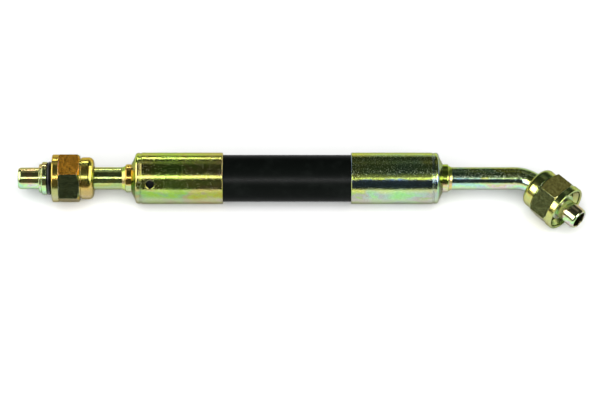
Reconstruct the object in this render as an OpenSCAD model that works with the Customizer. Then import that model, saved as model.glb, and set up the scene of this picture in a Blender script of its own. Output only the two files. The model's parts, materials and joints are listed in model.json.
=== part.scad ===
// Hose assembly with a straight swivel end and a 45 degree swivel end.
// A short rubber hose sits in two smooth crimp shells. Each shell is locked on a barbed stem,
// each stem carries a 3/8 in steel tube, and each tube ends in an O-ring pilot with a loose nut.
//
// X runs along the hose from the straight end (A) to the elbow end (B), Z is up, millimetres.
// The origin is on the tube axis, at the front face of the straight end's pilot collar.

/* [Layout] */
// Which node to draw
// Collar face of the straight end to the mouth of its shell
reach_a = 78.4; // [66:0.1:200]
// Length of hose between the mouths of the two shells
free_len = 54.6; // [30:0.1:1000]
// Mouth of the elbow end's shell to the corner of the elbow
reach_b = 74.9; // [62:0.1:200]
// Corner of the elbow to the collar face of the elbow end
leg_b = 21.5; // [19:0.1:80]
// Angle that the elbow turns through
elbow_angle = 45; // [0:1:90]
// Roll of the elbow about the hose axis, which lets its nut come down to the floor
clocking = 2.6; // [0:0.1:30]
// Distance that the straight end's nut has slid back from the collar face
nut_back_a = 5.6; // [0:0.1:18]
// Turn of the elbow end's nut away from flats down
nut_turn_b = 5; // [0:1:60]

/* [Tube] */
// Outside diameter of the steel tube
tube_od = 9.525; // [6:0.005:20]
// Inside diameter of the steel tube
tube_id = 7.75; // [4:0.05:17]
// Radius of the elbow on the tube's centre line
bend_r = 12; // [10:0.5:60]

/* [Pilot] */
// Diameter of the pilot nose
pilot_d = 9.2; // [6:0.1:18]
// Length of the pilot nose in front of the collar
pilot_len = 9.0; // [4:0.1:20]
// Diameter of the flow bore through the pilot
pilot_bore_d = 6.8; // [3:0.1:12]
// Diameter of the collar that holds the O-ring from the front
collar_d = 14.0; // [10:0.1:24]
// Length of the collar
collar_len = 3.4; // [1:0.1:8]
// Diameter of the bead that the nut pulls on
bead_d = 13.5; // [10:0.1:24]
// Length of the bead
bead_len = 2.2; // [1:0.1:6]

/* [O-ring] */
// Section diameter of the O-ring
ring_section = 1.86; // [1:0.01:4]
// Bottom diameter of the O-ring's groove
groove_d = 10.5; // [8:0.1:20]
// Width of the O-ring's groove
groove_w = 1.9; // [1:0.05:5]

/* [Nut] */
// Size of the nut across its flats
nut_af = 19.05; // [14:0.05:32]
// Overall length of the nut
nut_len = 17.8; // [10:0.1:30]
// Diameter of the round band in front of the flats
band_d = 20.4; // [14:0.1:34]
// Length of the round band in front of the flats
band_len = 2.8; // [1:0.1:6]
// Length of the flats
hex_len = 9.0; // [5:0.1:20]
// Diameter of the round hub behind the flats
hub_d = 18.0; // [12:0.1:30]
// Diameter of the open mouth in front of the thread
mouth_d = 18.0; // [12:0.1:30]
// Minor diameter of the thread
thread_minor = 14.6; // [10:0.05:26]
// Major diameter of the thread
thread_major = 15.9; // [10.5:0.05:28]
// Pitch of the thread
thread_pitch = 1.411; // [0.8:0.001:2.5]
// Depth of the threaded mouth
thread_len = 9.0; // [5:0.1:18]

/* [Shell] */
// Outside diameter of the shell
shell_od = 22.0; // [16:0.1:40]
// Inside diameter of the shell
shell_id = 20.1; // [14:0.1:38]
// Depth of the shell over the hose
shell_depth = 33.2; // [20:0.1:60]
// Length of the shell with its tapered end
shell_len = 39.0; // [26:0.1:70]
// Diameter of the sight hole
sight_d = 3.4; // [2:0.1:5]
// Distance of the sight hole from the blind end of the shell
sight_inset = 2.4; // [1:0.1:8]
// Width of the countersunk lip round the sight hole
sight_lip = 0.35; // [0.1:0.05:0.8]

/* [Stem] */
// Diameter of the stem's hub, which the shell closes on
stem_hub_d = 12.0; // [8:0.1:20]
// Length of hub seen past the shell
stem_hub_out = 2.6; // [1:0.1:8]
// Diameter of the lock flange inside the shell
flange_d = 16.0; // [13:0.1:24]
// Crest diameter of the barbs
barb_d = 8.8; // [6:0.1:16]
// Number of barbs
barb_count = 6; // [3:1:10]
// Flow bore of the stem
stem_bore_d = 5.8; // [3:0.1:12]

/* [Hose] */
// Outside diameter of the hose
hose_od = 20.0; // [14:0.1:38]
// Bore of the hose between the stems
hose_id = 8.0; // [4:0.1:20]
// Outside diameter of the inner tube
inner_od = 11.2; // [8:0.1:24]
// Outside diameter of the barrier film
barrier_od = 11.9; // [8.5:0.1:26]
// Outside diameter of the backing layer
backing_od = 14.4; // [9:0.1:30]
// Outside diameter of the braid
braid_od = 15.9; // [10:0.1:34]

/* [Hidden] */
$fn = 72;

// Depth of the brazed sockets that take the tube, in the pilot and in the stem
pilot_socket = 2.0;
stem_socket = 5.0;

// Braze fillets: foot diameter and length, at the pilot and at the stem
pilot_fillet = [11.2, 0.8];
stem_fillet = [10.8, 1.4];

// Clearances: brazed socket, gap between hose layers, stem in hose, nut on bead
socket_gap = 0.04;
layer_gap = 0.03;
barb_gap = 0.05;
bead_gap = 0.1;

// The wall thins a little where the tube is bent, and the bend laps into the straight runs
bend_thinning = 0.03;
bend_lap = 0.05;

// Stations behind the collar face
groove_at = collar_len;
bead_at = groove_at + groove_w;
pilot_end = bead_at + bead_len;
socket_at = pilot_end - pilot_socket;

// Stations from the mouth of a shell towards its fitting
flange_at = shell_depth + 0.1;
flange_len = 2.0;
wall_at = flange_at + flange_len + 0.1;
stem_end = shell_len + stem_hub_out;
stem_socket_at = stem_end - stem_socket;
stem_tip = -1.5;
hose_grip = shell_depth - 0.2;

// Stations along X and along the leg of the elbow
mouth_a = reach_a;
mouth_b = reach_a + free_len;
corner_b = mouth_b + reach_b;
bend_tangent = bend_r * tan(elbow_angle / 2);
tube_in_stem = stem_socket_at + 0.1;
tube_in_pilot = socket_at + 0.1;
leg_tube_end = leg_b - tube_in_pilot;
nut_front_b = thread_len - pilot_end - bead_gap;

// Sight holes: A looks forward and up, B is on the far side, low down
sight_at = shell_depth - sight_inset;
sight_angle_a = -52.5;
sight_angle_b = 52.5;

// Colours
zinc_gold = [0.72, 0.66, 0.30];
zinc_olive = [0.50, 0.47, 0.18];
zinc_amber = [0.70, 0.48, 0.16];
zinc_pale = [0.74, 0.80, 0.60];
braze_gold = [0.80, 0.65, 0.35];
rubber_black = [0.06, 0.06, 0.06];
rubber_grey = [0.12, 0.12, 0.12];
nylon_white = [0.85, 0.84, 0.78];
yarn_cream = [0.78, 0.76, 0.68];

// ---------- places ----------

// Puts +Z of a fitting or a shell towards the straight end's nose
module towards_a(x) {
    translate([x, 0, 0])
        rotate([0, -90, 0])
            children();
}

// Puts +Z of a shell or a stem towards the elbow
module towards_b(x) {
    translate([x, 0, 0])
        rotate([0, 90, 0])
            children();
}

// The plane of the elbow, with its corner at the origin
module elbow_plane() {
    translate([corner_b, 0, 0])
        rotate([clocking, 0, 0])
            children();
}

// Puts +Z of a fitting along the leg of the elbow, s from the corner
module on_leg(s) {
    elbow_plane()
        rotate([0, 0, -elbow_angle])
            translate([s, 0, 0])
                rotate([0, 90, 0])
                    children();
}

// ---------- shapes ----------

// A quarter round from (r, z), a outwards and b back, as points of an outline
function quarter(r, z, a, b, steps = 6) =
    [for (i = [0 : steps]) [r + a * sin(90 * i / steps), z + b * (cos(90 * i / steps) - 1)]];

// The same from (r, z), b forwards and a inwards
function quarter_in(r, z, a, b, steps = 6) =
    [for (i = [0 : steps]) [r + a * (cos(90 * i / steps) - 1), z + b * sin(90 * i / steps)]];

// A length of tube
module pipe(len, od, id) {
    rotate_extrude()
        translate([id / 2, 0])
            square([(od - id) / 2, len]);
}

// O-ring pilot: nose, stepped collar, groove and bead, z = 0 at the collar face
module pilot() {
    tip_in = 0.8;
    step_r = collar_d / 2 - 0.8;
    rotate_extrude()
        polygon(concat(
            [[pilot_bore_d / 2, pilot_len - 0.25], [pilot_bore_d / 2 + 0.25, pilot_len]],
            quarter(pilot_d / 2 - tip_in, pilot_len, tip_in, 2 * tip_in),
            [
                [pilot_d / 2, 0],
                [step_r - 0.3, 0],
                [step_r, -0.3],
                [step_r, -0.9],
                [collar_d / 2, -1.5],
                [collar_d / 2, -groove_at + 0.2],
                [collar_d / 2 - 0.2, -groove_at],
                [groove_d / 2, -groove_at],
                [groove_d / 2, -bead_at],
                [bead_d / 2 - 0.3, -bead_at],
                [bead_d / 2, -bead_at - 0.3],
                [bead_d / 2, -pilot_end + 0.3],
                [bead_d / 2 - 0.3, -pilot_end],
                [tube_od / 2 + socket_gap, -pilot_end],
                [tube_od / 2 + socket_gap, -socket_at],
                [pilot_bore_d / 2, -socket_at]
            ]
        ));
}

// Braze fillet round the tube, z = 0 at the face that it wets
module braze(foot_d, len) {
    tube_r = tube_od / 2 + 0.01;
    foot = foot_d / 2 - tube_r;
    rotate_extrude()
        polygon(concat(
            [[tube_r, 0]],
            [for (i = [0 : 5]) [
                tube_r + 0.05 + (foot - 0.05) * pow(1 - i / 5, 2),
                -len * i / 5
            ]],
            [[tube_r, -len]]
        ));
}

module o_ring() {
    translate([0, 0, -groove_at - groove_w / 2])
        rotate_extrude()
            translate([groove_d / 2 + ring_section / 2 + 0.01, 0])
                circle(d = ring_section, $fn = 32);
}

// Swivel nut, z = 0 at its front rim
module nut() {
    hex_at = band_len;
    hub_at = band_len + hex_len;
    corner_d = nut_af / cos(30);
    chamfer = (corner_d - nut_af) / 2;
    rear_round = 2.4;
    mouth_len = 1.0;
    thread_at = mouth_len + (mouth_d - thread_minor) / 2;
    turns = floor((thread_len - thread_at) / thread_pitch);
    bore_r = tube_od / 2 + 0.2;
    seat_r = bead_d / 2 - 0.75;
    difference() {
        union() {
            // Hexagon, with both ends turned back at 30 degrees
            intersection() {
                translate([0, 0, -hub_at])
                    rotate([0, 0, 30])
                        cylinder(h = hex_len, d = corner_d, $fn = 6);
                rotate_extrude()
                    polygon([
                        [0, -hex_at],
                        [band_d / 2, -hex_at],
                        [corner_d / 2 + 0.1, -hex_at - chamfer * 0.4],
                        [corner_d / 2 + 0.1, -hub_at + chamfer * 0.75],
                        [nut_af / 2 - 0.1, -hub_at],
                        [0, -hub_at]
                    ]);
            }
            // Front band, relief groove and rounded hub
            rotate_extrude()
                polygon(concat(
                    [[0, 0]],
                    quarter(band_d / 2 - 0.5, 0, 0.5, 0.5, 3),
                    [
                        [band_d / 2, -hex_at],
                        [hub_d / 2 - 0.6, -hex_at - 0.8],
                        [hub_d / 2 - 0.6, -hub_at - 0.5],
                        [hub_d / 2 - 0.1, -hub_at - 0.7]
                    ],
                    [for (p = quarter_in(hub_d / 2, 0, rear_round, rear_round, 8))
                        [p[0], -nut_len + rear_round - p[1]]],
                    [[0, -nut_len]]
                ));
        }
        // Threaded mouth, seat for the bead and running bore
        rotate_extrude()
            polygon(concat(
                [
                    [0, 1],
                    [mouth_d / 2 + 0.3, 1],
                    [mouth_d / 2 + 0.3, 0],
                    [mouth_d / 2, -0.3],
                    [mouth_d / 2, -mouth_len]
                ],
                [for (i = [0 : turns - 1]) each [
                    [thread_minor / 2, -thread_at - i * thread_pitch],
                    [thread_major / 2, -thread_at - (i + 0.4) * thread_pitch],
                    [thread_major / 2, -thread_at - (i + 0.5) * thread_pitch],
                    [thread_minor / 2, -thread_at - (i + 0.9) * thread_pitch]
                ]],
                [
                    [thread_minor / 2, -thread_len],
                    [seat_r, -thread_len],
                    [bore_r, -thread_len - (seat_r - bore_r)],
                    [bore_r, -nut_len + 0.4],
                    [bore_r + 0.4, -nut_len],
                    [bore_r + 0.4, -nut_len - 1],
                    [0, -nut_len - 1]
                ]
            ));
    }
}

// Barbed stem with its lock flange and hub, z = 0 at the mouth of the shell
module stem() {
    crest_r = barb_d / 2;
    root_r = crest_r - 0.5;
    pitch = (flange_at - 3.5) / barb_count;
    hub_r = stem_hub_d / 2;
    hub_round = 0.6;
    rotate_extrude()
        polygon(concat(
            [[stem_bore_d / 2, stem_tip], [root_r - 0.5, stem_tip], [root_r, stem_tip + 0.6]],
            [for (i = [0 : barb_count - 1]) each [
                [root_r, 0.5 + i * pitch],
                [crest_r, 0.5 + (i + 0.7) * pitch],
                [crest_r, 0.5 + (i + 0.8) * pitch],
                [root_r, 0.5 + (i + 0.85) * pitch]
            ]],
            [
                [root_r, flange_at],
                [flange_d / 2 - 0.3, flange_at],
                [flange_d / 2, flange_at + 0.3],
                [flange_d / 2, flange_at + flange_len],
                [hub_r, flange_at + flange_len]
            ],
            quarter_in(hub_r, stem_end - hub_round, hub_round, hub_round),
            [
                [tube_od / 2 + socket_gap, stem_end],
                [tube_od / 2 + socket_gap, stem_socket_at],
                [stem_bore_d / 2, stem_socket_at]
            ]
        ));
}

// Smooth crimp shell: long cup, shallow groove, end collar and taper, z = 0 at its mouth
module shell(sight_angle) {
    r = shell_od / 2;
    edge = 0.25;
    shoulder = 1.3;
    difference() {
        rotate_extrude()
            polygon(concat(
                [
                    [shell_id / 2 + edge, 0],
                    [r - edge, 0],
                    [r, edge],
                    [r, shell_len - 4.4],
                    [r - 0.3, shell_len - 4.1],
                    [r - 0.3, shell_len - 3.7],
                    [r - 0.1, shell_len - 3.5]
                ],
                // Rounded shoulder down to the taper
                quarter_in(r - 0.1, shell_len - 2.9, shoulder, shoulder),
                [
                    [stem_hub_d / 2 + 0.75, shell_len - 0.2],
                    [stem_hub_d / 2 + 0.4, shell_len],
                    [stem_hub_d / 2 + 0.05, shell_len],
                    [stem_hub_d / 2 + 0.05, wall_at],
                    [flange_d / 2 + 0.05, wall_at],
                    [flange_d / 2 + 0.05, shell_depth],
                    [shell_id / 2, shell_depth],
                    [shell_id / 2, edge]
                ]
            ));
        rotate([0, 0, sight_angle])
            translate([shell_id / 2 - 2, 0, sight_at])
                rotate([0, 90, 0])
                    cylinder(h = 4, d = sight_d, $fn = 40);
        rotate([0, 0, sight_angle])
            translate([r - 0.4, 0, sight_at])
                rotate([0, 90, 0])
                    cylinder(h = 1, d1 = sight_d, d2 = sight_d + 5 * sight_lip, $fn = 40);
    }
}

// One layer of the hose, over its whole cut length
module hose_layer(od, id) {
    translate([mouth_a - hose_grip, 0, 0])
        rotate([0, 90, 0])
            pipe(free_len + 2 * hose_grip, od, id);
}

// ---------- straight end ----------

module pilot_a() {
    color(zinc_gold)
        towards_a(0)
            pilot();
}

module pilot_braze_a() {
    color(braze_gold)
        towards_a(pilot_end + 0.01)
            braze(pilot_fillet[0], pilot_fillet[1]);
}

module o_ring_a() {
    color(rubber_black)
        towards_a(0)
            o_ring();
}

module nut_a() {
    color(zinc_amber)
        towards_a(nut_back_a)
            nut();
}

module tube_a() {
    color(zinc_gold)
        towards_b(tube_in_pilot)
            pipe(mouth_a - tube_in_stem - tube_in_pilot, tube_od, tube_id);
}

module stem_braze_a() {
    color(braze_gold)
        towards_b(mouth_a - stem_end - 0.01)
            braze(stem_fillet[0], stem_fillet[1]);
}

module stem_a() {
    color(zinc_olive)
        towards_a(mouth_a)
            stem();
}

module shell_a() {
    color(zinc_gold)
        towards_a(mouth_a)
            shell(sight_angle_a);
}

// ---------- elbow end ----------

module pilot_b() {
    color(zinc_pale)
        on_leg(leg_b)
            pilot();
}

module pilot_braze_b() {
    color(braze_gold)
        on_leg(leg_b - pilot_end - 0.01)
            braze(pilot_fillet[0], pilot_fillet[1]);
}

module o_ring_b() {
    color(rubber_black)
        on_leg(leg_b)
            o_ring();
}

module nut_b() {
    color(zinc_olive)
        on_leg(leg_b + nut_front_b)
            rotate([0, 0, -nut_turn_b])
                nut();
}

module tube_b() {
    straight_len = reach_b - tube_in_stem - bend_tangent;
    color(zinc_gold)
        union() {
            elbow_plane()
                towards_b(-bend_tangent - straight_len)
                    pipe(straight_len + bend_lap, tube_od, tube_id);
            elbow_plane()
                translate([-bend_tangent, -bend_r, 0])
                    rotate([0, 0, 90 - elbow_angle])
                        rotate_extrude(angle = elbow_angle)
                            translate([bend_r, 0])
                                difference() {
                                    circle(d = tube_od - bend_thinning);
                                    circle(d = tube_id + bend_thinning);
                                }
            on_leg(bend_tangent - bend_lap)
                pipe(leg_tube_end - bend_tangent + bend_lap, tube_od, tube_id);
        }
}

module stem_braze_b() {
    color(braze_gold)
        towards_a(mouth_b + stem_end + 0.01)
            braze(stem_fillet[0], stem_fillet[1]);
}

module stem_b() {
    color(zinc_olive)
        towards_b(mouth_b)
            stem();
}

module shell_b() {
    color(zinc_gold)
        towards_b(mouth_b)
            shell(sight_angle_b);
}

// ---------- hose ----------

// Inner tube, opened at both ends where the barbs have pushed it out
module hose_tube() {
    grip = hose_grip - stem_tip + 0.3;
    len = free_len + 2 * hose_grip;
    barb_r = barb_d / 2 + barb_gap;
    color(rubber_black)
        translate([mouth_a - hose_grip, 0, 0])
            rotate([0, 90, 0])
                rotate_extrude()
                    polygon([
                        [barb_r, 0],
                        [inner_od / 2, 0],
                        [inner_od / 2, len],
                        [barb_r, len],
                        [barb_r, len - grip],
                        [hose_id / 2, len - grip - 1],
                        [hose_id / 2, grip + 1],
                        [barb_r, grip]
                    ]);
}

module hose_barrier() {
    color(nylon_white)
        hose_layer(barrier_od, inner_od + 2 * layer_gap);
}

module hose_backing() {
    color(rubber_grey)
        hose_layer(backing_od, barrier_od + 2 * layer_gap);
}

module hose_braid() {
    color(yarn_cream)
        hose_layer(braid_od, backing_od + 2 * layer_gap);
}

module hose_cover() {
    color(rubber_black)
        hose_layer(hose_od, braid_od + 2 * layer_gap);
}

pilot_a();
pilot_braze_a();
o_ring_a();
nut_a();
tube_a();
stem_braze_a();
stem_a();
shell_a();
pilot_b();
pilot_braze_b();
o_ring_b();
nut_b();
tube_b();
stem_braze_b();
stem_b();
shell_b();
hose_tube();
hose_barrier();
hose_backing();
hose_braid();
hose_cover();
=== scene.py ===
import json
import math

import bpy
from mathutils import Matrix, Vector

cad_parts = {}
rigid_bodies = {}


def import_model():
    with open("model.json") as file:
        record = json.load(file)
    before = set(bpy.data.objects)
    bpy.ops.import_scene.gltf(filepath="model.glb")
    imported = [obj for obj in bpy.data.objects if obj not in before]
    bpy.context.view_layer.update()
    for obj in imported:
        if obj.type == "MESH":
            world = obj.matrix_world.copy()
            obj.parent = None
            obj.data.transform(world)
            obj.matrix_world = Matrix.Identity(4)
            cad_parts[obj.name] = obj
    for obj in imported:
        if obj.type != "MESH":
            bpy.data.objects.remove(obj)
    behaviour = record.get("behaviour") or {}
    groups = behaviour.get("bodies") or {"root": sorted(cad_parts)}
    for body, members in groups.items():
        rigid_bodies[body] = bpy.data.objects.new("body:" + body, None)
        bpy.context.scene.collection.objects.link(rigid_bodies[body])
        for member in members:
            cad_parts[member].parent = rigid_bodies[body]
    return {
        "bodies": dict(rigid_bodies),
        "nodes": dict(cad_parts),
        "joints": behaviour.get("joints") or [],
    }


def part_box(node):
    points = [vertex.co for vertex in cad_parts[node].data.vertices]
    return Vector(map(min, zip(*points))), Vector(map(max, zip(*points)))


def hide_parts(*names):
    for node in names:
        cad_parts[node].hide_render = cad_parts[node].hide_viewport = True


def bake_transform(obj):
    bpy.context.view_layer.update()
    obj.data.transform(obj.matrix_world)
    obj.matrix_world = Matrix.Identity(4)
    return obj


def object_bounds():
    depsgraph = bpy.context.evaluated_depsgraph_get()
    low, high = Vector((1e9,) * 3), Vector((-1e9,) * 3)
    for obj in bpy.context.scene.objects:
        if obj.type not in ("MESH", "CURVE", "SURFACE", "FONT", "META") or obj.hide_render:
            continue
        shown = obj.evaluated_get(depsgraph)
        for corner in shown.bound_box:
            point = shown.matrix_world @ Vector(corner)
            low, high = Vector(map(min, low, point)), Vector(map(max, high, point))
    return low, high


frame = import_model()
CAD_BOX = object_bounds()
NODES = frame["nodes"]
MM = 0.001


# ---------- camera ----------

CAMERA_ELEVATION = math.radians(52.5)
LENS = 200.0
SENSOR = 36.0
VIEW_OVER_LENGTH = 1.0565      # width of the view over the length of the assembly
AXIS_ABOVE_MIDDLE = 9.25 * MM  # the hose's axis lies a little above the middle of the view
VIEW_TO_LEFT = 0.4 * MM        # and the view's middle a little left of the assembly's

low, high = CAD_BOX
length = high[0] - low[0]
target_x = (low[0] + high[0]) / 2 - VIEW_TO_LEFT
target = Vector((target_x, -AXIS_ABOVE_MIDDLE / math.sin(CAMERA_ELEVATION), 0))
distance = LENS / SENSOR * length * VIEW_OVER_LENGTH
to_camera = Vector((0, -math.cos(CAMERA_ELEVATION), math.sin(CAMERA_ELEVATION)))

camera_data = bpy.data.cameras.new("camera")
camera_data.lens = LENS
camera_data.sensor_width = SENSOR
camera_data.clip_start = 0.05
camera_data.clip_end = 50
camera = bpy.data.objects.new("camera", camera_data)
bpy.context.scene.collection.objects.link(camera)
camera.location = target + to_camera * distance
camera.rotation_euler = (-to_camera).to_track_quat("-Z", "Y").to_euler()
bpy.context.scene.camera = camera


# ---------- node graphs ----------

class Graph:
    """A tree of nodes, added and linked one line at a time."""

    def __init__(self, tree):
        self.tree = tree

    def add(self, kind, links=(), **settings):
        node = self.tree.nodes.new(kind)
        for key, value in settings.items():
            setattr(node, key, value)
        for socket, value in dict(links).items():
            self.put(node, socket, value)
        return node

    def put(self, node, socket, value):
        if isinstance(value, bpy.types.NodeSocket):
            self.tree.links.new(value, node.inputs[socket])
        else:
            node.inputs[socket].default_value = value

    def math(self, operation, a, b=0.0, clamp=False):
        return self.add("ShaderNodeMath", {0: a, 1: b}, operation=operation, use_clamp=clamp).outputs[0]

    def between(self, value, start, end, at_start=0.0, at_end=1.0):
        """A smooth step from at_start to at_end, as the value goes from start to end."""
        node = self.add(
            "ShaderNodeMapRange",
            {"Value": value, "From Min": start, "From Max": end, "To Min": at_start, "To Max": at_end},
            interpolation_type="SMOOTHSTEP",
        )
        return node.outputs["Result"]

    def mix(self, factor, a, b, blend="MIX"):
        node = self.add("ShaderNodeMix", data_type="RGBA", blend_type=blend, clamp_factor=True)
        for socket, value in ((0, factor), (6, a), (7, b)):
            self.put(node, socket, rgba(value))
        return node.outputs[2]

    def ramp(self, value, colours, interpolation="LINEAR"):
        node = self.add("ShaderNodeValToRGB", {"Fac": value})
        node.color_ramp.interpolation = interpolation
        stops = node.color_ramp.elements
        while len(stops) < len(colours):
            stops.new(0.5)
        for i, (place, colour) in enumerate(colours):
            stops[i].position = place
            stops[i].color = rgba(colour)
        return node.outputs["Color"]

    def noise(self, vector, scale, detail=3.0, roughness=0.5, distortion=0.0):
        links = {"Vector": vector, "Scale": scale, "Detail": detail, "Roughness": roughness}
        return self.add("ShaderNodeTexNoise", {**links, "Distortion": distortion}).outputs["Fac"]

    def stretched(self, vector, scale, offset=(0, 0, 0)):
        links = {"Vector": vector, "Scale": scale, "Location": offset}
        return self.add("ShaderNodeMapping", links).outputs[0]

    def along(self, vector, direction):
        """How far the vector goes in the direction."""
        links = {0: vector, 1: direction}
        return self.add("ShaderNodeVectorMath", links, operation="DOT_PRODUCT").outputs["Value"]


class Finish(Graph):
    """The nodes of a new material."""

    def __init__(self, name):
        self.material = bpy.data.materials.new(name)
        self.material.use_nodes = True
        super().__init__(self.material.node_tree)
        self.shader = self.tree.nodes["Principled BSDF"]


def rgba(value):
    """A colour with alpha, from three numbers. Anything else is passed through."""
    if isinstance(value, tuple) and len(value) == 3:
        return (*value, 1.0)
    return value


# ---------- materials ----------

STEEL = (0.72, 0.71, 0.66)
EDGE_TINT = (0.42, 0.40, 0.30, 1.0)  # the shader's tint for reflections near grazing
UNDERSIDE_TINT = (0.50, 0.46, 0.44)
# A painted blue reflection and a painted yellow highlight, tinted into the elbow end's film
PAINTED_BLUE_REFLECTION = (0.22, 0.34, 0.66)
PAINTED_YELLOW_HIGHLIGHT = (0.66, 0.80, 0.14)
MILLED_TINT = (0.42, 0.36, 0.16)
PIT_TINT = (0.10, 0.11, 0.05)
CRYSTAL_TINT = (0.84, 0.94, 0.70)
DULL_TINT = (0.20, 0.22, 0.08)
WORN_WIDTH = 0.22 * MM  # about how wide the rubbed edges are
RELIEF = 0.035 * MM     # how high the film's bumps stand


class Film(Finish):
    """A film of yellow zinc chromate on turned steel, laid on step by step."""

    def __init__(self, name, seed):
        super().__init__(name)
        place = self.add("ShaderNodeTexCoord")
        self.here = place.outputs["Object"]
        self.facing = place.outputs["Normal"]
        self.where = self.stretched(self.here, (1, 1, 1), (seed * 0.137, seed * 0.071, seed * 0.029))
        self.patches = self.noise(self.stretched(self.where, (0.6, 1.0, 1.0)), 105, 3.0, 0.55, 0.8)
        self.mottle = self.noise(self.where, 620, 4.0, 0.6)

        # How far up the surface faces, shifted a little from patch to patch
        self.slope = self.add("ShaderNodeSeparateXYZ", {0: self.facing}).outputs["Z"]
        shift = self.math("MULTIPLY", self.math("SUBTRACT", self.patches, 0.5), 0.5)
        self.sag = self.math("ADD", self.slope, shift)
        # The downward-facing side, which takes the lower tints; on some parts these are painted darker as
        # shade
        self.gathered_and_shaded = self.between(self.sag, 0.55, 0.25)

    def thickness(self, thin):
        """Wide drifting patches with finer mottle inside them, and the thin stretch if there is one."""
        wide, fine = self.math("MULTIPLY", self.patches, 0.82), self.math("MULTIPLY", self.mottle, 0.18)
        tint = self.between(self.math("ADD", wide, fine), 0.36, 0.66)
        if not thin:
            return tint
        start, end, valley = thin
        x = self.add("ShaderNodeSeparateXYZ", {0: self.here}).outputs["X"]
        away = self.math("ABSOLUTE", self.math("SUBTRACT", self.between(x, start, end), valley))
        away = self.math("MULTIPLY", away, 0.6 / max(valley, 1 - valley))
        return self.math("ADD", self.math("MULTIPLY", tint, 0.5), away, clamp=True)

    def tinted(self, tint, upper, lower, under):
        """The drained tints above, the ones where the film collects below (on some parts painted darker, as
        shade), and a dull underside.
        """
        colour = self.mix(self.gathered_and_shaded, self.ramp(tint, upper), self.ramp(tint, lower))
        underside = self.math("MULTIPLY", self.between(self.sag, 0.16, -0.12), under)
        return self.mix(underside, colour, UNDERSIDE_TINT)

    def painted_reflections(self, colour, blue, painted_yellow):
        """A painted blue reflection along the upper side and a painted yellow highlight above it, with frayed
        edges. The second result says how far the two hide the crystals."""
        frayed = self.math("SUBTRACT", self.noise(self.where, 1100, 4.0, 0.7), 0.5)
        line = self.math("ADD", self.math("MULTIPLY", self.slope, 0.7), self.math("MULTIPLY", self.sag, 0.3))
        line = self.math("ADD", line, self.math("MULTIPLY", frayed, 0.16))
        blue_reflection = self.math("MULTIPLY", self.between(line, 0.78, 0.73), self.between(line, 0.46, 0.58))
        colour = self.mix(self.math("MULTIPLY", blue_reflection, blue), colour, PAINTED_BLUE_REFLECTION)
        yellow_highlight = self.math("MULTIPLY", self.between(line, 0.90, 0.83), self.between(line, 0.73, 0.78))
        yellow_highlight = self.math("MULTIPLY", yellow_highlight, painted_yellow)
        colour = self.mix(yellow_highlight, colour, PAINTED_YELLOW_HIGHLIGHT)
        hidden = self.math("MULTIPLY", blue_reflection, 0.8 if blue else 0.0)
        return colour, self.math("MAXIMUM", hidden, self.math("MULTIPLY", yellow_highlight, 0.7))

    def milled(self, colour, flats):
        """The six flats of a nut, each with its own tint, and the cutter's marks on them."""
        axis, up, start, end, tints = flats
        sideways, upwards = (self.along(self.facing, tuple(v)) for v in (up.cross(axis), up))
        angle = self.math("ARCTAN2", sideways, upwards)
        sixth = self.math("ROUND", self.math("DIVIDE", angle, math.pi / 3))
        sector = self.math("ADD", self.math("DIVIDE", sixth, 6), 0.5)

        # Each flat's stop comes a little before the flat's own value
        stops = [(max(0, (i + 3) / 6 - 0.08), tint) for i, tint in sorted(tints.items())]
        marks = self.noise(self.stretched(self.where, (1.0, 0.6, 1.0)), 900, 4.0, 0.65)
        marks = self.between(marks, 0.36, 0.66, 0.0, 0.7)
        flat_colour = self.mix(marks, self.ramp(sector, stops, "CONSTANT"), MILLED_TINT, "MULTIPLY")
        station = self.along(self.here, tuple(axis))
        past_start = self.math("GREATER_THAN", station, start)
        before_end = self.math("LESS_THAN", station, end)
        return self.mix(self.math("MULTIPLY", past_start, before_end), colour, flat_colour)

    def grained(self, colour, speckle, hidden):
        """Fine dark pits, pale crystals and dull specks in the film. The crystals are fewer on the lower
        side, where the film collects, and where they are hidden."""
        pits = self.between(self.noise(self.where, 2600, 2.0, 0.6), 0.36, 0.28)
        colour = self.mix(self.math("MULTIPLY", pits, 0.45), colour, PIT_TINT)
        crystals = self.between(self.noise(self.where, 2300, 3.0, 0.7), 0.55, 0.66)
        crystals = self.math("MULTIPLY", crystals, self.between(self.gathered_and_shaded, 0.9, 0.4, 0.15, 1.0))
        crystals = self.math("MULTIPLY", crystals, self.math("SUBTRACT", 1.0, hidden))
        colour = self.mix(self.math("MULTIPLY", crystals, speckle), colour, CRYSTAL_TINT)
        dull = self.between(self.noise(self.where, 1700, 2.0, 0.6), 0.40, 0.60, 0.26, 0.0)
        return self.mix(dull, colour, DULL_TINT), pits, crystals

    def rubbed(self, colour):
        """Bright steel where handling has rubbed the film off the edges."""
        rounded = self.add("ShaderNodeBevel", {"Radius": WORN_WIDTH}, samples=6).outputs[0]
        same = self.along(rounded, self.add("ShaderNodeNewGeometry").outputs["Normal"])
        edge = self.between(same, 0.97, 0.88)
        worn = self.math("MULTIPLY", edge, self.between(self.noise(self.where, 700, 3.0, 0.6), 0.38, 0.60))
        return self.mix(self.math("MULTIPLY", worn, 0.6), colour, STEEL), worn, rounded


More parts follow.
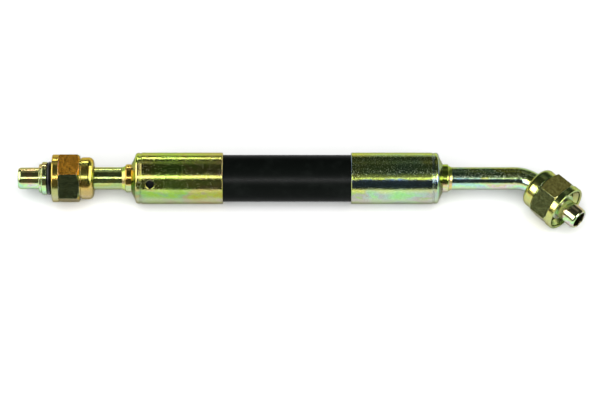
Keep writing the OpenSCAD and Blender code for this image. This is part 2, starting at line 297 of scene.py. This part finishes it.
def chromate(
    name, upper, lower, seed, roughness=0.17, speckle=0.0, grain=0.8, under=0.35, thin=None, flats=None,
    blue=0.0, painted_yellow=0.0
):
    """Yellow zinc chromate on turned steel. The film's tint drifts over the surface: upper holds the tints of
    the sides that drained, lower those of the sides where the film collects, which some parts pass painted
    darker as shade that dims the floor they mirror, and under says how dull the underside is. thin is (from,
    to, valley): along X between the two, the film is thinnest at valley. flats tints a nut's six flats one by
    one. speckle is how much the pale crystals show, and grain is how high the film's sparkle stands. The last
    two settings are how strong the painted blue reflection and the painted yellow highlight are."""
    g = Film(name, seed)
    colour = g.tinted(g.thickness(thin), upper, lower, under)
    # The painted blue reflection and the painted yellow highlight
    colour, hidden = g.painted_reflections(colour, blue, painted_yellow)
    if flats:
        colour = g.milled(colour, flats)
    colour, pits, crystals = g.grained(colour, speckle, hidden)
    colour, worn, rounded = g.rubbed(colour)

    # Turning marks run round the X axis, and handling scratches mostly along it
    marks = g.noise(g.stretched(g.where, (1.0, 0.02, 0.02)), 5200, 2.0, 0.6)
    scratches = g.between(g.noise(g.stretched(g.where, (0.12, 1.0, 1.0)), 1500, 2.0, 0.5, 1.0), 0.67, 0.72)
    sparkle = g.noise(g.where, 1400, 3.0, 0.65)
    rough = g.math("ADD", roughness, g.math("MULTIPLY", g.math("SUBTRACT", g.mottle, 0.5), 0.14))
    rough = g.math("ADD", rough, g.math("MULTIPLY", crystals, 0.3 * speckle))
    rough = g.math("ADD", rough, g.math("MULTIPLY", scratches, 0.06))
    rough = g.math("ADD", rough, g.math("MULTIPLY", worn, 0.08), clamp=True)
    height = g.math("ADD", g.math("MULTIPLY", marks, 0.12), g.math("MULTIPLY", g.mottle, 0.35))
    height = g.math("ADD", height, g.math("MULTIPLY", sparkle, grain))
    height = g.math("SUBTRACT", height, g.math("MULTIPLY", g.math("ADD", pits, scratches), 0.05))
    height = g.math("ADD", height, g.math("MULTIPLY", crystals, 0.3 * speckle))
    bump = g.add("ShaderNodeBump", {"Height": height, "Strength": 1.0, "Distance": RELIEF, "Normal": rounded})

    g.put(g.shader, "Base Color", colour)
    g.put(g.shader, "Roughness", rough)
    g.put(g.shader, "Normal", bump.outputs[0])
    g.shader.inputs["Metallic"].default_value = 1.0
    g.shader.inputs["Specular Tint"].default_value = EDGE_TINT
    return g.material


def rubber(name, colour, roughness, cloth=0.0, seed=1.0, gloss=0.45, ior=1.5):
    """Rubber with a fine grain, and cloth marks where it was cured under a wrap. The hose's yarn and film use
    it too, in their own colours."""
    g = Finish(name)
    place = g.add("ShaderNodeTexCoord").outputs["Object"]
    where = g.stretched(place, (1, 1, 1), (seed * 0.11, seed * 0.05, 0))
    grain = g.noise(where, 2400, 4.0, 0.65)
    dust = g.between(g.noise(where, 160, 4.0, 0.6), 0.45, 0.75)
    tone = g.mix(g.math("MULTIPLY", dust, 0.5), colour, tuple(c * 2.2 + 0.001 for c in colour))
    height = g.math("MULTIPLY", grain, 0.6)
    if cloth:
        weave = g.add(
            "ShaderNodeTexWave",
            {"Vector": where, "Scale": 900.0, "Distortion": 1.0, "Detail": 1.0},
            wave_type="BANDS", bands_direction="X",
        )
        height = g.math("ADD", height, g.math("MULTIPLY", weave.outputs["Fac"], cloth))
    bump = g.add("ShaderNodeBump", {"Height": height, "Strength": 0.5, "Distance": 0.03 * MM})
    g.put(g.shader, "Base Color", tone)
    g.put(g.shader, "Roughness", g.between(grain, 0.3, 0.7, roughness - 0.06, roughness + 0.08))
    g.put(g.shader, "Normal", bump.outputs[0])
    g.shader.inputs["Specular IOR Level"].default_value = gloss
    g.shader.inputs["IOR"].default_value = ior
    return g.material


# Tints of the film, from thin to thick
GOLD_UPPER = [
    (0.0, (0.46, 0.72, 0.12)), (0.4, (0.58, 0.74, 0.12)),
    (0.7, (0.70, 0.60, 0.16)), (1.0, (0.62, 0.42, 0.22)),
]
GOLD_LOWER = [
    (0.0, (0.50, 0.38, 0.24)), (0.14, (0.40, 0.50, 0.26)), (0.3, (0.42, 0.68, 0.11)),
    (0.48, (0.34, 0.58, 0.34)), (0.62, (0.56, 0.42, 0.34)), (0.78, (0.54, 0.58, 0.12)),
    (1.0, (0.62, 0.34, 0.08)),
]
GREEN_UPPER = [(0.0, (0.36, 0.60, 0.46)), (0.5, (0.48, 0.70, 0.28)), (1.0, (0.68, 0.70, 0.14))]
GREEN_LOWER = [
    (0.0, (0.40, 0.52, 0.66)), (0.25, (0.38, 0.74, 0.56)), (0.5, (0.46, 0.82, 0.30)),
    (0.7, (0.56, 0.62, 0.60)), (0.85, (0.62, 0.46, 0.52)), (1.0, (0.50, 0.62, 0.22)),
]
TUBE_UPPER = [(0.0, (0.46, 0.60, 0.34)), (0.5, (0.52, 0.66, 0.22)), (1.0, (0.70, 0.66, 0.16))]
TUBE_LOWER = [(0.0, (0.38, 0.58, 0.40)), (0.5, (0.46, 0.58, 0.26)), (1.0, (0.56, 0.46, 0.30))]
AMBER_UPPER = [(0.0, (0.66, 0.64, 0.14)), (0.5, (0.78, 0.54, 0.10)), (1.0, (0.62, 0.38, 0.09))]
AMBER_LOWER = [(0.0, (0.40, 0.42, 0.16)), (0.5, (0.50, 0.40, 0.13)), (1.0, (0.46, 0.34, 0.14))]
OLIVE_UPPER = [(0.0, (0.40, 0.56, 0.20)), (0.5, (0.56, 0.60, 0.16)), (1.0, (0.70, 0.60, 0.14))]
OLIVE_LOWER = [(0.0, (0.34, 0.56, 0.30)), (0.5, (0.44, 0.54, 0.20)), (1.0, (0.50, 0.48, 0.18))]
STRAW_UPPER = [(0.0, (0.56, 0.68, 0.30)), (0.5, (0.72, 0.66, 0.24)), (1.0, (0.74, 0.52, 0.26))]
PALE_UPPER = [(0.0, (0.50, 0.70, 0.42)), (0.5, (0.62, 0.70, 0.34)), (1.0, (0.70, 0.58, 0.36))]


def deeper(tints, by):
    """The same run of tints, each channel of it multiplied."""
    return [(place, tuple(round(c * k, 3) for c, k in zip(colour, by))) for place, colour in tints]


# Each nut's flats in turn round it, at rest. 0 faces up, and 3 and -3 are the one that faces down. The
# camera's side is 1 and 2 on nut A, and -1 and -2 on nut B.
# Flat 1 of nut A, the lower one on the camera's side, is painted dark olive: a painted shade for the dark it
# mirrors. The other tints are the film's own.
FLATS_A_WITH_PAINTED_SHADE = {
    -3: (0.60, 0.55, 0.20), -2: (0.40, 0.42, 0.18), -1: (0.66, 0.56, 0.18), 0: (0.92, 0.42, 0.04),
    1: (0.20, 0.25, 0.12), 2: (0.58, 0.44, 0.16), 3: (0.60, 0.55, 0.20),
}
FLATS_B = {
    -3: (0.50, 0.56, 0.26), -2: (0.52, 0.50, 0.20), -1: (0.44, 0.50, 0.20), 0: (0.78, 0.72, 0.22),
    1: (0.36, 0.44, 0.26), 2: (0.40, 0.46, 0.24), 3: (0.50, 0.56, 0.26),
}


NUT_BAND = 2.8 * MM   # along the nut, from its mouth to the flats
NUT_FLATS = 9.0 * MM  # and along the flats
BESIDE = 0.02 * MM    # keeps the flats' tints off the band


def nut_flats(nut, tints):
    """What chromate() needs to find a nut's flats: its axis towards the nose, its upward side, the two
    stations along that axis between which the flats lie, and their tints."""
    joint = next(j for j in frame["joints"] if j["child"] == nut)
    axis = Vector(joint["axis"]).normalized()
    if nut == "nut_a":
        axis = -axis  # its joint's axis points away from its nose
    up = (Vector((0, 0, 1)) - axis * axis.z).normalized()
    rim = max(v.co.dot(axis) for v in NODES[nut].data.vertices)
    return axis, up, rim - NUT_BAND - NUT_FLATS, rim - NUT_BAND - BESIDE, tints


SHELL_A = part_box("shell_a")
SHELL_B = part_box("shell_b")
# The lower runs of the straight end's shell and tube and of the elbow end's shell are multiplied down: a
# painted shade that dims the bright floor mirrored in their downward-facing sides.
METALS = {
    "shell_a": chromate(
        "chromate_shell_a", GOLD_UPPER, deeper(GOLD_LOWER, (0.57, 0.67, 0.45)), 1.0,
        roughness=0.12, grain=1.3, under=0.5, speckle=0.55,
        thin=(SHELL_A[0].x, SHELL_A[1].x, 0.4),
    ),
    # The elbow end's shell and tube carry a painted blue reflection, and the shell also a painted yellow
    # highlight
    "shell_b": chromate(
        "chromate_shell_b", GREEN_UPPER, deeper(GREEN_LOWER, (0.62, 0.80, 0.71)), 2.0,
        speckle=0.85, roughness=0.13, grain=1.1, under=0.6, blue=0.8, painted_yellow=0.85,
        thin=(SHELL_B[1].x, SHELL_B[0].x, 0.5),
    ),
    "tube_a": chromate(
        "chromate_tube_a", TUBE_UPPER, deeper(TUBE_LOWER, (0.76, 0.78, 0.50)), 3.0,
        speckle=0.3, roughness=0.14, grain=1.1,
    ),
    "tube_b": chromate(
        "chromate_tube_b", GREEN_UPPER, GREEN_LOWER, 4.0,
        speckle=1.0, roughness=0.14, grain=1.4, under=0.5, blue=0.6,
    ),
    "stem_a": chromate("chromate_stem_a", AMBER_UPPER, TUBE_LOWER, 5.0),
    "stem_b": chromate("chromate_stem_b", GOLD_UPPER, GREEN_LOWER, 6.0),
    "pilot_a": chromate("chromate_pilot_a", STRAW_UPPER, GREEN_LOWER, 7.0),
    "pilot_b": chromate("chromate_pilot_b", PALE_UPPER, GREEN_LOWER, 8.0),
    "nut_a": chromate(
        "chromate_nut_a", AMBER_UPPER, AMBER_LOWER, 9.0, roughness=0.20, flats=nut_flats("nut_a", FLATS_A_WITH_PAINTED_SHADE)
    ),
    "nut_b": chromate(
        "chromate_nut_b", OLIVE_UPPER, OLIVE_LOWER, 10.0, roughness=0.20, flats=nut_flats("nut_b", FLATS_B)
    ),
}
BRAZE = chromate("braze_fillet", GOLD_UPPER, GOLD_UPPER, 11.0, roughness=0.3)
O_RING = rubber("o_ring_rubber", (0.008, 0.008, 0.010), 0.35, seed=3.0)

finishes = dict(METALS)
for end in "ab":
    finishes.update({f"pilot_braze_{end}": BRAZE, f"stem_braze_{end}": BRAZE, f"o_ring_{end}": O_RING})
for node, material in finishes.items():
    NODES[node].data.materials.clear()
    NODES[node].data.materials.append(material)


# ---------- hose ----------

AT_REST = "at_rest"  # the attribute that keeps where each point is when the hose is straight


def tube_mesh(name, outer, inner, start, end, material, steps=90, around=96):
    """A closed tube along X, fine enough along its length to bend."""
    stations = [start + (end - start) * i / steps for i in range(steps + 1)]
    loop = [(x, outer) for x in stations] + [(x, inner) for x in reversed(stations)]
    points = []
    for x, r in loop:
        for k in range(around):
            a = 2 * math.pi * k / around
            points.append((x, r * math.cos(a), r * math.sin(a)))
    faces = []
    count = len(loop)
    for i in range(count):
        j = (i + 1) % count
        for k in range(around):
            m = (k + 1) % around
            faces.append((i * around + k, i * around + m, j * around + m, j * around + k))
    mesh = bpy.data.meshes.new(name)
    mesh.from_pydata(points, [], faces)
    mesh.materials.append(material)
    mesh.validate()
    mesh.update()
    piece = bpy.data.objects.new(name, mesh)
    bpy.context.scene.collection.objects.link(piece)
    return piece


def arc_tree(start, end, follower):
    """Geometry nodes that put the hose on an arc, tangent to both its ends, for whatever angle the follower
    body has turned through. Turning each section about the joint's axis alone would make an S."""
    tree = bpy.data.node_groups.new("hose_arc", "GeometryNodeTree")
    tree.interface.new_socket("Geometry", in_out="INPUT", socket_type="NodeSocketGeometry")
    tree.interface.new_socket("Geometry", in_out="OUTPUT", socket_type="NodeSocketGeometry")
    g = Graph(tree)
    body = g.add("GeometryNodeObjectInfo", {"Object": follower}, transform_space="RELATIVE")
    turned = g.add("ShaderNodeSeparateXYZ", {0: body.outputs["Rotation"]}).outputs["Z"]
    angle = g.math("ADD", turned, 1e-5)  # off zero at rest, because the radius is divided by its tangent
    at_rest = g.add("GeometryNodeInputNamedAttribute", {"Name": AT_REST}, data_type="FLOAT_VECTOR")
    x, y, z = g.add("ShaderNodeSeparateXYZ", {0: at_rest.outputs["Attribute"]}).outputs

    # How far round the arc each point's section is, and how far past its ends
    station = g.math("MINIMUM", g.math("MAXIMUM", x, start), end)
    beyond = g.math("SUBTRACT", x, station)
    share = g.math("DIVIDE", g.math("SUBTRACT", station, start), end - start)
    here = g.math("MULTIPLY", angle, share)
    sine, cosine = g.math("SINE", here), g.math("COSINE", here)
    radius = g.math("DIVIDE", (end - start) / 2, g.math("TANGENT", g.math("MULTIPLY", angle, 0.5)))

    # The section's centre on the arc, then the point in its section
    centre_x = g.math("ADD", start, g.math("MULTIPLY", radius, sine))
    centre_y = g.math("MULTIPLY", radius, g.math("SUBTRACT", 1.0, cosine))
    out_x = g.math("SUBTRACT", g.math("MULTIPLY", beyond, cosine), g.math("MULTIPLY", y, sine))
    out_y = g.math("ADD", g.math("MULTIPLY", beyond, sine), g.math("MULTIPLY", y, cosine))
    new_x, new_y = g.math("ADD", centre_x, out_x), g.math("ADD", centre_y, out_y)
    place = g.add("ShaderNodeCombineXYZ", {0: new_x, 1: new_y, 2: z}).outputs[0]

    source, result = tree.nodes.new("NodeGroupInput"), tree.nodes.new("NodeGroupOutput")
    moved = g.add("GeometryNodeSetPosition", {"Geometry": source.outputs[0], "Position": place})
    cleaned = g.add("GeometryNodeRemoveAttribute", {"Geometry": moved.outputs[0], "Name": AT_REST})
    g.put(result, 0, cleaned.outputs[0])
    return tree


hose_low, hose_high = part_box("hose_cover")
start_x, end_x = hose_low.x, hose_high.x
mouth_a = SHELL_A[1].x
mouth_b = SHELL_B[0].x

LAYERS = {
    "hose_cover": rubber(
        "hose_cover_rubber", (0.0020, 0.0026, 0.0022), 0.35, cloth=0.12, seed=5.0, gloss=0.1, ior=1.2
    ),
    "hose_braid": rubber("hose_braid_yarn", (0.55, 0.50, 0.40), 0.8, cloth=0.9, seed=6.0),
    "hose_backing": rubber("hose_backing_rubber", (0.02, 0.02, 0.02), 0.6, seed=7.0),
    "hose_barrier": rubber("hose_barrier_film", (0.70, 0.68, 0.60), 0.4, seed=8.0),
    "hose_tube": rubber("hose_tube_rubber", (0.015, 0.015, 0.015), 0.5, seed=9.0),
}
LAYER_GAP = 0.03 * MM
OVER_BARBS = 4.45 * MM    # the inside radius of the innermost layer
outer_of = {node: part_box(node)[1].z for node in LAYERS}
ordered = list(LAYERS)
inner_of = {a: outer_of[b] + LAYER_GAP for a, b in zip(ordered, ordered[1:])}
inner_of["hose_tube"] = OVER_BARBS
arc = arc_tree(mouth_a, mouth_b, frame["bodies"]["end_b"])
layer_pieces = {}
for node, material in LAYERS.items():
    piece = tube_mesh(node + "_bent", outer_of[node], inner_of[node], start_x, end_x, material)
    for polygon in piece.data.polygons:
        polygon.use_smooth = True
    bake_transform(piece)
    rest = piece.data.attributes.new(AT_REST, "FLOAT_VECTOR", "POINT")
    for point, vertex in zip(rest.data, piece.data.vertices):
        point.vector = vertex.co
    piece.modifiers.new("arc", "NODES").node_group = arc
    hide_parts(node)
    layer_pieces[node] = piece


# ---------- floor, lights and surroundings ----------

floor_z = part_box("shell_a")[0].z
bpy.ops.mesh.primitive_plane_add(size=8, location=(target.x, 0, floor_z))
floor = bpy.context.object
floor.name = "floor"
paper = Finish("floor_paper")
paper.shader.inputs["Base Color"].default_value = (0.90, 0.90, 0.90, 1)
paper.shader.inputs["Roughness"].default_value = 0.9
paper.shader.inputs["Specular IOR Level"].default_value = 0.1
floor.data.materials.append(paper.material)


def receivers(name, objects):
    """A collection that a light can be limited to, as a photographer flags it off the rest."""
    group = bpy.data.collections.new(name)
    for o in objects:
        group.objects.link(o)
    return group


USUALLY_AWAY = 1.6  # from a light to what it lights


def softbox(name, at, size, radiance, elevation, azimuth=-90.0, away=USUALLY_AWAY, only=None):
    """A rectangular light facing the point at, from an elevation and an azimuth in degrees. Size is its width
    and its height, and radiance how bright it looks."""
    data = bpy.data.lights.new(name, "AREA")
    data.shape = "RECTANGLE"
    data.size, data.size_y = size
    data.energy = radiance * math.pi * size[0] * size[1]
    light = bpy.data.objects.new(name, data)
    bpy.context.scene.collection.objects.link(light)
    e, a = math.radians(elevation), math.radians(azimuth)
    out = Vector((math.cos(a) * math.cos(e), math.sin(a) * math.cos(e), math.sin(e)))
    light.location = Vector(at) + out * away
    light.rotation_euler = (-out).to_track_quat("-Z", "Y").to_euler()
    light.light_linking.receiver_collection = only
    return light


def mirrored_x(x):
    """Where a light has to be along X to be seen in a part that runs along X, at x."""
    return x + (x - target.x) * USUALLY_AWAY / distance


FACET = 2e-6  # square metres, and anything smaller isn't taken for a flat


def card_in_flat(name, nut, size, radiance, only, away=1.5):
    """A dim card where the camera sees it mirrored in the nut's upper flat."""
    start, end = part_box(nut)
    middle = (start + end) / 2
    axis, up = nut_flats(nut, None)[:2]
    faces = [p for p in NODES[nut].data.polygons if p.area > FACET]
    normals = [p.normal for p in faces if abs(p.normal.dot(axis)) < 0.01]
    normal = max(normals, key=lambda n: n.dot(up))
    view = (camera.location - middle).normalized()
    out = 2 * normal.dot(view) * normal - view
    elevation, azimuth = math.degrees(math.asin(out.z)), math.degrees(math.atan2(out.y, out.x))
    return softbox(name, middle, size, radiance, elevation, azimuth, away, only)


# Each end's strips span what the camera sees mirrored along it, and go on past its nose
NOSE_SIDE = 0.1
SPARE = 0.25
BEHIND, LEFT, RIGHT = 90, 180, 0
end_a_from, end_a_to = mirrored_x(low[0]), mirrored_x(SHELL_A[1].x)
end_b_from, end_b_to = mirrored_x(SHELL_B[0].x), mirrored_x(high[0])
hose_from, hose_to = mirrored_x(mouth_a), mirrored_x(mouth_b)
middle_a, width_a = (end_a_from + end_a_to) / 2 - NOSE_SIDE, end_a_to - end_a_from + SPARE
middle_b, width_b = (end_b_from + end_b_to) / 2 + NOSE_SIDE, end_b_to - end_b_from + SPARE
middle_h, width_h = (hose_from + hose_to) / 2, hose_to - hose_from
nut_x = mirrored_x(sum(v.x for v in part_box("nut_a")) / 2)

on_a = receivers("lit_end_a", [o for n, o in NODES.items() if n.endswith("_a")])
on_b = receivers("lit_end_b", [o for n, o in NODES.items() if n.endswith("_b")])
on_hose = receivers("lit_hose", layer_pieces.values())
on_hose_b = receivers("lit_hose_and_end_b", [*on_b.objects, *on_hose.objects])
on_floor = receivers("lit_floor", [floor])

# The straight end
softbox("strip_front_a", (middle_a, 0, 0), (width_a, 0.17), 6.6, 57.6, only=on_a)
softbox("glow_front_a", (middle_a, 0, 0), (width_a, 0.50), 0.35, 60, away=1.7, only=on_a)
softbox("glow_low_a", (middle_a, 0, 0), (width_a, 0.80), 0.06, 24, away=1.7, only=on_a)
softbox("strip_back_a", (middle_a, 0, 0), (width_a, 0.07), 14.0, 26, BEHIND, only=on_a)
softbox("card_nut_a", (nut_x, 0, 0), (0.10, 0.40), 0.8, 52, BEHIND, only=on_a)

# The elbow end and the hose
softbox("strip_front_b", (middle_b, 0, 0), (width_b, 0.10), 4.2, 50.5, only=on_b)
softbox("glow_front_b", (middle_b, 0, 0), (width_b, 0.60), 0.16, 60, away=1.7, only=on_b)
card_in_flat("card_nut_b", "nut_b", (0.5, 0.5), 0.16, on_b)
softbox("strip_front_hose", (middle_h, 0, 0), (width_h, 0.34), 210.0, 44, only=on_hose)

# Wide panels at the straight end's sides, smaller ones towards the front for the rest
softbox("side_left_a", (target.x, 0, 0), (2.4, 1.4), 3.1, 40, LEFT, only=on_a)
softbox("side_right_a", (target.x, 0, 0), (2.4, 1.4), 3.1, 40, RIGHT, only=on_a)
softbox("side_left_b", (target.x, 0, 0), (0.9, 0.9), 8.6, 40, LEFT + 40, only=on_hose_b)
softbox("side_right_b", (target.x, 0, 0), (0.9, 0.9), 8.6, 40, RIGHT - 40, only=on_hose_b)

# The floor, lit from the camera's side, so that the shadows fall behind
softbox("overhead", (target.x, 0, 0), (6, 6), 2.9, 58, away=3, only=on_floor)

# Dark studio with a pale backdrop low down behind the object
STUDIO = (0.032, 0.040, 0.031)
BACKDROP = (0.50, 0.50, 0.50)
world = bpy.data.worlds.new("studio")
bpy.context.scene.world = world
world.use_nodes = True
sky = Graph(world.node_tree)
toward = sky.add("ShaderNodeSeparateXYZ", {0: sky.add("ShaderNodeTexCoord").outputs["Generated"]}).outputs
low_down, behind = sky.between(toward["Z"], 0.26, 0.12), sky.between(toward["Y"], -0.05, 0.25)
tone = sky.mix(sky.math("MULTIPLY", low_down, behind), STUDIO, BACKDROP)
sky.put(sky.tree.nodes["Background"], "Color", tone)

view = bpy.context.scene.view_settings
view.view_transform = "Standard"
view.look = "None"
